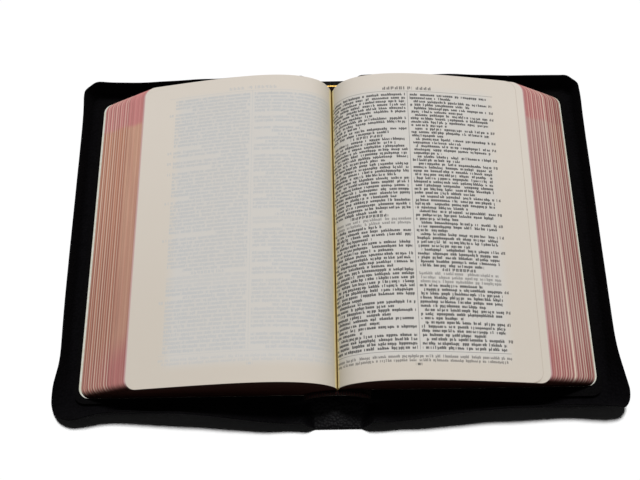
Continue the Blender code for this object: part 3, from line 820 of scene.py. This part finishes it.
# The open pages: the last leaf of each half, of thin cream paper that the other side's print shows through.
# The left-hand page is bare on this side. The right-hand one is printed and carries the turning leaf.
# The print is only rows of marks: two columns, a rule between them, a head line, notes and a page number.
SHEET_THICKNESS = 0.00015
SHEET_CORNER_STEPS = 12
SHEET_STRAIGHT_STEPS = 40
PAGE_STEPS = 110
PAPER_CREAM = (0.645, 0.588, 0.520, 1.0)
PAPER_GREY = (0.585, 0.570, 0.545, 1.0)
PAPER_FOOT_SHADE_AND_MOTTLE = (0.575, 0.520, 0.450, 1.0)
PAPER_GUTTER_SHADE = (0.48, 0.445, 0.35, 1.0)
PAPER_BOUNCE_LIGHT = (0.86, 0.76, 0.36, 1.0)
GUTTER_GOLD_SHADE = (0.42, 0.26, 0.02, 1.0)
INK = (0.010, 0.010, 0.012, 1.0)
INK_THROUGH = (0.465, 0.478, 0.488, 1.0)
TRIM_TONE = (0.36, 0.27, 0.20, 1.0)

# Sizes of the print, in millimetres from the gutter and from the middle of the leaf's height.
# A heading has its column, row, middle and half width, and a light row its column and row.
MILLIMETRES = 1000.0
FIRST_ROW = 88.3
ROW_PITCH = 2.6
ROWS = 68
COLUMN_STARTS = (2.8, 58.0)
COLUMN_ENDS = (55.0, 109.4)
COLUMN_RULE = 56.5
INDENT = 2.4
RAGGED_LEAST = 6.8
RAGGED_RANGE = 27.2
HEADINGS = ((0, 12, 29.0, 10.5), (0, 34, 29.0, 12.0), (1, 48, 83.0, 10.5))
HEADING_PITCH = 2.25
LIGHT_ROWS = ((0, 35), (0, 36), (1, 49), (1, 50), (1, 51))
LIGHT_LESS = 0.4
DIGITS_ACROSS = (110.8, 113.8)
DIGIT_PITCH = 1.55
HEAD_LINE_TOP = 94.9
HEAD_LINE_HEIGHT = 3.2
HEAD_LINE_ACROSS = (40.5, 72.5)
HEAD_LINE_PITCH = 2.7
HEAD_LINE_GAP = 61.0
HEAD_LINE_GAP_HALF = 1.3
NOTES_TOP = -89.9
NOTES_ACROSS = (3.0, 112.0)
NOTE_ROW_PITCH = 2.4
NOTE_ROWS = 2.0
NOTE_PITCH = 1.15
FOLIO_UP = -95.8
FOLIO_HALF = 0.75
FOLIO_ACROSS = (53.4, 57.2)
FOLIO_PITCH = 0.45
FOLIO_BARE = 0.36
HEAD_RULE_UP = 91.0
HEAD_RULE_ACROSS = (2.6, 114.0)
HEAD_RULE_HALF = 0.16
FOOT_RULE_UP = -88.1
FOOT_RULE_ACROSS = (2.6, 112.0)
COLUMN_RULE_UP = (-87.0, 91.0)
RULE_HALF = 0.17
HEAD_LINE_INK = 0.8
NOTE_INK = 0.7
FOLIO_INK = 0.8
RULE_INK = 0.6
BULK_PITCH = 1.3
BULK_LEVEL = (0.15, 0.85)
BULK_LEAST = 0.2
BULK_STRENGTH = 0.45
THROUGH_INK = 0.8

# Shares of a letter's width and height, limits for its dice, and numbers that set the throws apart.
LETTER_PITCH = 1.36
WORD_LETTERS = 7.0
ROW_SHIFT = 0.618
FIRST_STEM = (0.03, 0.45)
SECOND_STEM = (0.50, 0.88)
LETTER_TOP = 0.22
LETTER_FOOT = 0.79
ASCENDER = 0.2
ASCENDS_OVER = 0.75
DESCENDER = 0.17
DESCENDS_UNDER = 0.22
SECOND_DROP = 0.16
DROPS_OVER = 0.55
SINGLE_OVER = 0.84
CAPITAL_FIRST_STEM = (0.03, 0.33)
CAPITAL_SECOND_STEM = (0.42, 0.72)
CAPITAL_TOP = 0.10
CAPITAL_FOOT = 0.84
CAPITAL_CUT = 0.2
CUT_TOP_UNDER = 0.3
CUT_FOOT_OVER = 0.6
CAPITAL_SINGLE_OVER = 0.85
RIGHT_KEY = 200.0
SPACE_THROW = 77.0
HABIT_THROW = 31.0
CAPITAL_THROW = 57.0
BREAK_THROW = 5.0
RAGGED_THROW = 9.0
NOTE_THROW = 90.0
DIGIT_THROW = 3.0
FOLIO_THROW = 2.0


def any_of(wires):
    """The most of several wires."""
    result = wires[0]
    for wire in wires[1:]:
        result = result.most(wire)
    return result


def letters(s, level, key, pitch):
    """Plain marks in place of small type: two upright blocks to a letter's width, or one.

    Every run of letters has one gap. Dice thrown on letter and row choose where it is and which blocks
    stand taller or reach lower. Each row starts its count at another place."""
    count = s / pitch + WORD_LETTERS * (key * ROW_SHIFT).fract()
    across = count.fract()
    letter = count.floor()
    word = (letter / WORD_LETTERS).floor()
    space = (dice(word, key + SPACE_THROW) * WORD_LETTERS).floor()
    chance = dice(letter, key)
    habit = dice(letter, key + HABIT_THROW)
    first_top = LETTER_TOP - ASCENDER * (chance > ASCENDS_OVER)
    first_foot = LETTER_FOOT + DESCENDER * (chance < DESCENDS_UNDER)
    second_top = LETTER_TOP + SECOND_DROP * (habit > DROPS_OVER)
    first = across.within(*FIRST_STEM) * level.within(first_top, first_foot)
    second = across.within(*SECOND_STEM) * level.within(second_top, LETTER_FOOT) * (habit < SINGLE_OVER)
    return first.most(second) * (abs(letter - word * WORD_LETTERS - space) > 0.5)


def capitals(s, level, key, pitch):
    """Plain marks in place of spaced capitals: two stout upright blocks to a letter's width, or one."""
    across = (s / pitch).fract()
    habit = dice((s / pitch).floor(), key + CAPITAL_THROW)
    first_top = CAPITAL_TOP + CAPITAL_CUT * (habit < CUT_TOP_UNDER)
    second_foot = CAPITAL_FOOT - CAPITAL_CUT * (habit > CUT_FOOT_OVER)
    first = across.within(*CAPITAL_FIRST_STEM) * level.within(first_top, CAPITAL_FOOT)
    second = across.within(*CAPITAL_SECOND_STEM) * level.within(CAPITAL_TOP, second_foot)
    return first.most(second * (habit < CAPITAL_SINGLE_OVER))


def rule_line(across, along, place_at, half_width, start, end):
    """A thin straight rule."""
    return (abs(across - place_at) < half_width) * along.within(start, end)


def is_row(key, column, number):
    """One on a row of a column, and nought elsewhere."""
    return abs(key - (number + RIGHT_KEY * column)) < 0.5


def page_print(s, y, break_level):
    """Marks of a page, as full ink and as the soft rows that show through thin paper.

    A row's number is the whole part of its distance from the first row. Dice thrown on row and column end
    some rows early, but never two in turn. The next row is indented and has a number in the margin."""
    row_place = (FIRST_ROW + ROW_PITCH / 2 - y) / ROW_PITCH
    row = row_place.floor()
    level = row_place.fract()
    right = s > COLUMN_RULE
    key = row + RIGHT_KEY * right
    start = COLUMN_STARTS[0] + (COLUMN_STARTS[1] - COLUMN_STARTS[0]) * right
    end = COLUMN_ENDS[0] + (COLUMN_ENDS[1] - COLUMN_ENDS[0]) * right
    titles = []
    for column, number, centre, half_width in HEADINGS:
        titles.append(is_row(key, column, number) * (abs(s - centre) < half_width))
    headed = any_of([is_row(key, column, number) for column, number, *_ in HEADINGS])
    before_heading = any_of([is_row(key, column, number - 1) for column, number, *_ in HEADINGS])
    light = any_of([is_row(key, column, number) for column, number in LIGHT_ROWS])
    breaks = [dice(key - float(back), BREAK_THROW) > break_level for back in range(3)]
    short = (breaks[0] * (1 - breaks[1])).most(before_heading)
    opens = breaks[1] * (1 - breaks[2])
    ragged = RAGGED_LEAST + RAGGED_RANGE * dice(key, RAGGED_THROW)
    inside = (s > start + INDENT * opens) * (s < end - short * ragged) * row.within(-0.5, ROWS - 0.5)
    inside = inside * (1 - headed)
    numbered = opens * row.within(0.5, ROWS - 0.5) * (1 - headed) * (1 - light) * s.within(*DIGITS_ACROSS)
    head_level = (HEAD_LINE_TOP - y) / HEAD_LINE_HEIGHT
    head_room = s.within(*HEAD_LINE_ACROSS) * (abs(s - HEAD_LINE_GAP) > HEAD_LINE_GAP_HALF)
    note_place = (NOTES_TOP - y) / NOTE_ROW_PITCH
    note_key = note_place.floor() + NOTE_THROW
    note_room = note_place.within(0.0, NOTE_ROWS) * s.within(*NOTES_ACROSS)
    folio_room = (abs(y - FOLIO_UP) < FOLIO_HALF) * s.within(*FOLIO_ACROSS)
    rules = [
        rule_line(y, s, HEAD_RULE_UP, HEAD_RULE_HALF, *HEAD_RULE_ACROSS),
        rule_line(y, s, FOOT_RULE_UP, RULE_HALF, *FOOT_RULE_ACROSS),
        rule_line(s, y, COLUMN_RULE, RULE_HALF, *COLUMN_RULE_UP),
    ]
    ink = any_of([
        letters(s, level, key, LETTER_PITCH) * inside * (1 - LIGHT_LESS * light),
        capitals(s, level, key, HEADING_PITCH) * any_of(titles),
        capitals(s - DIGITS_ACROSS[0], level, key + DIGIT_THROW, DIGIT_PITCH) * numbered,
        HEAD_LINE_INK * (capitals(s, head_level, 0.0, HEAD_LINE_PITCH) * head_room),
        NOTE_INK * (letters(s, note_place.fract(), note_key, NOTE_PITCH) * note_room),
        FOLIO_INK * (folio_room * (dice((s / FOLIO_PITCH).floor(), FOLIO_THROW) > FOLIO_BARE)),
        RULE_INK * any_of(rules),
    ])
    bulk = level.within(*BULK_LEVEL) * inside
    bulk = bulk * (BULK_LEAST + (1 - BULK_LEAST) * dice((s / BULK_PITCH).floor(), key))
    return ink, (BULK_STRENGTH * bulk).most(THROUGH_INK * ink)


# Sizes of the paper's tones, in millimetres like the print's, and what each side of a leaf shows.
ZONE_INNER = (1.0, 7.0)
ZONE_OUTER = (106.0, 116.0)
ZONE_ENDS = (88.0, 97.0)
ZONE_STRENGTH = 0.8
GUTTER_SHADE_ACROSS = (3.0, 22.0)
GUTTER_SHADE_STRENGTH = 0.5
BOUNCE_LIGHT_ACROSS = (2.8, 5.0)
BOUNCE_LIGHT_STRENGTH = 0.7
GOLD_SHADE_ACROSS = (1.6, 2.6)
TRIM_LINE = 0.35
PAPER_ROUGHNESS = 0.78
PAPER_GLOSS = 0.25
PAPER_RELIEF = 0.08
FIBRE_SCALE = 500.0
FIBRE_DETAIL = 4.0
FIBRE_STRENGTH = 0.06
CLOUD_SCALE = 35.0
CLOUD_DETAIL = 3.0
CLOUD_EASE = (0.35, 0.7)
CLOUD_STRENGTH = 0.10
PAGE_TRIM = 0.1
PRINTED_SIDE = {"ink_strength": 0.92, "through": 0.15, "break_level": 0.58, "shift": (0.0, 0.0)}
BARE_SIDE = {"ink_strength": 0.0, "through": 0.95, "break_level": 0.84, "shift": (4.0, 2.4)}


def page_finish(name, leaf_end, trim_strength, ink_strength, through, break_level, shift):
    """Thin printed paper: cream at the margins and greyer behind the print, with painted shade towards the
    foot, and painted shade and warm bounce light going olive to gold down in the gutter.

    A fine line follows the trimmed edge and its round corners, where the colour of the edge shows."""
    finish, place = start_finish(name, PAPER_ROUGHNESS, PAPER_GLOSS)
    chart = place.node("UVMap", {"uv_map": "chart"}, {})
    along, up, _ = chart.parts()
    s = along * MILLIMETRES
    y = up * MILLIMETRES
    half_leaf = HALF_LEAF * MILLIMETRES
    radius = LEAF_CORNER_RADIUS * MILLIMETRES
    ink, soft = page_print(s - shift[0], y - shift[1], break_level)
    fibre = place.noise(FIBRE_SCALE, FIBRE_DETAIL)
    cloud = place.noise(CLOUD_SCALE, CLOUD_DETAIL)
    zone = s.ease(*ZONE_INNER) * (1 - s.ease(*ZONE_OUTER)) * (1 - abs(y).ease(*ZONE_ENDS))
    # Painted shade: the paper darkens from head to foot. The same colour also gives the paper's real
    # mottling below.
    paper = (1 - y.ease(-half_leaf, half_leaf)).blend(PAPER_CREAM, PAPER_FOOT_SHADE_AND_MOTTLE)
    paper = (ZONE_STRENGTH * zone).blend(paper, PAPER_GREY)
    paper = (through * soft).blend(paper, INK_THROUGH)
    # Painted shade and painted light down in the gutter: olive shade, a yellow strip of bounce light, and
    # gold-brown shade at the fold.
    paper = (GUTTER_SHADE_STRENGTH * (1 - s.ease(*GUTTER_SHADE_ACROSS))).blend(paper, PAPER_GUTTER_SHADE)
    paper = (BOUNCE_LIGHT_STRENGTH * (1 - s.ease(*BOUNCE_LIGHT_ACROSS))).blend(paper, PAPER_BOUNCE_LIGHT)
    paper = (1 - s.ease(*GOLD_SHADE_ACROSS)).blend(paper, GUTTER_GOLD_SHADE)
    past_side = (s - (leaf_end - radius)).most(0.0)
    past_end = (abs(y) - (half_leaf - radius)).most(0.0)
    past = (past_side * past_side + past_end * past_end).root()
    trimmed = (past > radius - TRIM_LINE) * (s > leaf_end - radius)
    paper = (trim_strength * trimmed).blend(paper, TRIM_TONE)
    mottled = CLOUD_STRENGTH * cloud.ease(*CLOUD_EASE) + FIBRE_STRENGTH * fibre
    paper = mottled.blend(paper, PAPER_FOOT_SHADE_AND_MOTTLE)
    feed(finish, "Base Color", (ink_strength * ink).blend(paper, INK))
    feed_relief(finish, fibre, PAPER_RELIEF)
    return finish


page_end = (LEAF_WIDTH - PAGE_RISER) * MILLIMETRES
printed_paper = page_finish("printed_thin_paper", page_end, PAGE_TRIM, **PRINTED_SIDE)
bare_paper = page_finish("bare_thin_paper", page_end, PAGE_TRIM, **BARE_SIDE)


def sheet_points(side, start, ends, steps, low, high):
    """A thin sheet on the page's curve between two distances from the fold, and its chart."""
    share = np.linspace(0.0, 1.0, steps + 1)[None, :, None]
    spots = start + share * (ends[None, None] - start)
    lifts = np.array([low, high])[:, None, None]
    spots, lifts, tall = np.broadcast_arrays(spots, lifts, sheet_heights[None, None])
    points = leaf_points(side, 1.0, spots, tall, lifts)
    return six_faces(points), six_faces(np.stack([spots - PAGE_RISER, tall], axis=-1))


sheet_heights = leaf_heights(SHEET_CORNER_STEPS, SHEET_STRAIGHT_STEPS)
page_ends = LEAF_WIDTH - corner_cut(sheet_heights)
for side, name, finish in ((LEFT, "left_page", bare_paper), (RIGHT, "right_page", printed_paper)):
    sheets, charts = sheet_points(side, 0.0, page_ends, PAGE_STEPS, -SHEET_THICKNESS, 0.0)
    page = make_piece(name, sheets, charts, finish)
    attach(page, "text_block")

# The turning leaf: one loose printed leaf on the right-hand page, a little narrower than the rest.
# It is one smooth sheet in six lengths, which meet in the middle of the CAD's strips.
LEAF_SHORT = 0.005
LEAF_LOW = 0.00028
LEAF_HIGH = LEAF_LOW + SHEET_THICKNESS
LEAF_ROOT_RISE = 0.002
LEAF_TRIM = 0.5
STRIP_MIDDLES_X = (0.00145, 0.00675, 0.01763, 0.03785, 0.08656)
STRIPS = ("root", "shoulder", "crown", "slope", "page")
LENGTH_STEPS = (6, 10, 14, 18, 30, 36)

leaf_end = page_end - LEAF_SHORT * MILLIMETRES
leaf_paper = page_finish("turning_leaf_paper", leaf_end, LEAF_TRIM, **PRINTED_SIDE)
cuts = np.concatenate([[PAGE_RISER + LEAF_ROOT_RISE], np.interp(STRIP_MIDDLES_X, curve_x, curve_spots)])
for number, start in enumerate(cuts):
    last = number == len(cuts) - 1
    ends = page_ends - LEAF_SHORT if last else np.full_like(sheet_heights, cuts[number + 1])
    sheets, charts = sheet_points(RIGHT, start, ends, LENGTH_STEPS[number], LEAF_LOW, LEAF_HIGH)
    length = make_piece(f"turning_leaf_length_{number + 1}", sheets, charts, leaf_paper)
    if 0 < number < len(cuts) - 1:
        bend_from, bend_to = leaf_points(RIGHT, 1.0, cuts[number : number + 2], 0.0, LEAF_LOW)
        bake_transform(length)
    else:
        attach(length, "leaf_root" if number == 0 else "leaf_page")
    if last:
        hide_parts("turning_leaf_page")
    elif number < len(STRIPS) - 1:
        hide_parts(f"turning_leaf_{STRIPS[number]}")

# The table: a plain white surface, just under the binding.
# The soft light from the head's side leaves it white, and the book shades it.
FLOOR_HALF = 40.0
FLOOR_LEVEL = -0.0002
FLOOR_WHITE = (0.98, 0.98, 0.98, 1.0)
FLOOR_ROUGHNESS = 0.9

floor_corners = FLOOR_HALF * np.array([[-1.0, -1.0], [1.0, -1.0], [1.0, 1.0], [-1.0, 1.0]])
floor_points = np.insert(floor_corners, 2, FLOOR_LEVEL, axis=1)
floor_mesh = bpy.data.meshes.new("table")
floor_mesh.from_pydata(floor_points.tolist(), [], [(0, 1, 2, 3)])
white_table, _ = start_finish("white_table", FLOOR_ROUGHNESS, 0.0)
white_table.node_tree.nodes["Principled BSDF"].inputs["Base Color"].default_value = FLOOR_WHITE
floor_mesh.materials.append(white_table)
floor = bpy.data.objects.new("table", floor_mesh)
bpy.context.scene.collection.objects.link(floor)

# The light: one broad soft lamp high on the head's side, a little to the right, and a dim even fill.
# The background that the camera and reflections see is white.
LAMP_ELEVATION = 63.0
LAMP_AZIMUTH = 8.0
LAMP_STRENGTH = 3.60
LAMP_SPREAD = 12.0
FILL_STRENGTH = 0.012
FILL_WHITE = (1.0, 1.0, 1.0, 1.0)

lamp_data = bpy.data.lights.new("broad_lamp", "SUN")
lamp_data.energy = LAMP_STRENGTH
lamp_data.angle = math.radians(LAMP_SPREAD)
lamp = bpy.data.objects.new("broad_lamp", lamp_data)
lamp.rotation_euler = (math.radians(LAMP_ELEVATION - 90.0), 0.0, math.radians(-LAMP_AZIMUTH))
bpy.context.scene.collection.objects.link(lamp)
world = bpy.data.worlds.new("even_fill")
world.use_nodes = True
background = world.node_tree.nodes["Background"]
sky = Wire(world.node_tree, background.outputs[0])
seen_by = ("Is Camera Ray", "Is Glossy Ray", "Is Transmission Ray")
seen = any_of([sky.node("LightPath", {}, {}, ray) for ray in seen_by])
sky_level = FILL_STRENGTH + (1.0 - FILL_STRENGTH) * seen
world.node_tree.links.new(sky_level.socket, background.inputs["Strength"])
background.inputs["Color"].default_value = FILL_WHITE
bpy.context.scene.world = world

# The camera stands on the tail's side and looks steeply down, as the photograph was taken.
# Its place and lens were fitted to the corners and edges of the pages.
CAMERA_PLACE = (-0.0047, -0.2412, 0.5598)
CAMERA_PITCH = math.radians(66.68)
CAMERA_YAW = math.radians(-1.15)
CAMERA_ROLL = math.radians(-2.05)
FOCAL_PIXELS = 922.0
IMAGE_WIDTH = 640.0
SENSOR_WIDTH = 36.0

ahead = np.array((math.sin(CAMERA_YAW), math.cos(CAMERA_YAW), 0.0))
view_forward = math.cos(CAMERA_PITCH) * ahead - math.sin(CAMERA_PITCH) * np.array((0.0, 0.0, 1.0))
level_right = np.array((ahead[1], -ahead[0], 0.0))
level_up = np.cross(level_right, view_forward)
view_right = math.cos(CAMERA_ROLL) * level_right + math.sin(CAMERA_ROLL) * level_up
view_up = math.cos(CAMERA_ROLL) * level_up - math.sin(CAMERA_ROLL) * level_right
camera_data = bpy.data.cameras.new("camera")
camera_data.sensor_width = SENSOR_WIDTH
camera_data.lens = FOCAL_PIXELS / IMAGE_WIDTH * SENSOR_WIDTH
camera = bpy.data.objects.new("camera", camera_data)
turned = np.eye(4)
turned[:3] = np.column_stack([view_right, view_up, -view_forward, CAMERA_PLACE])
camera.matrix_world = Matrix(turned.tolist())
bpy.context.scene.collection.objects.link(camera)
bpy.context.scene.camera = camera
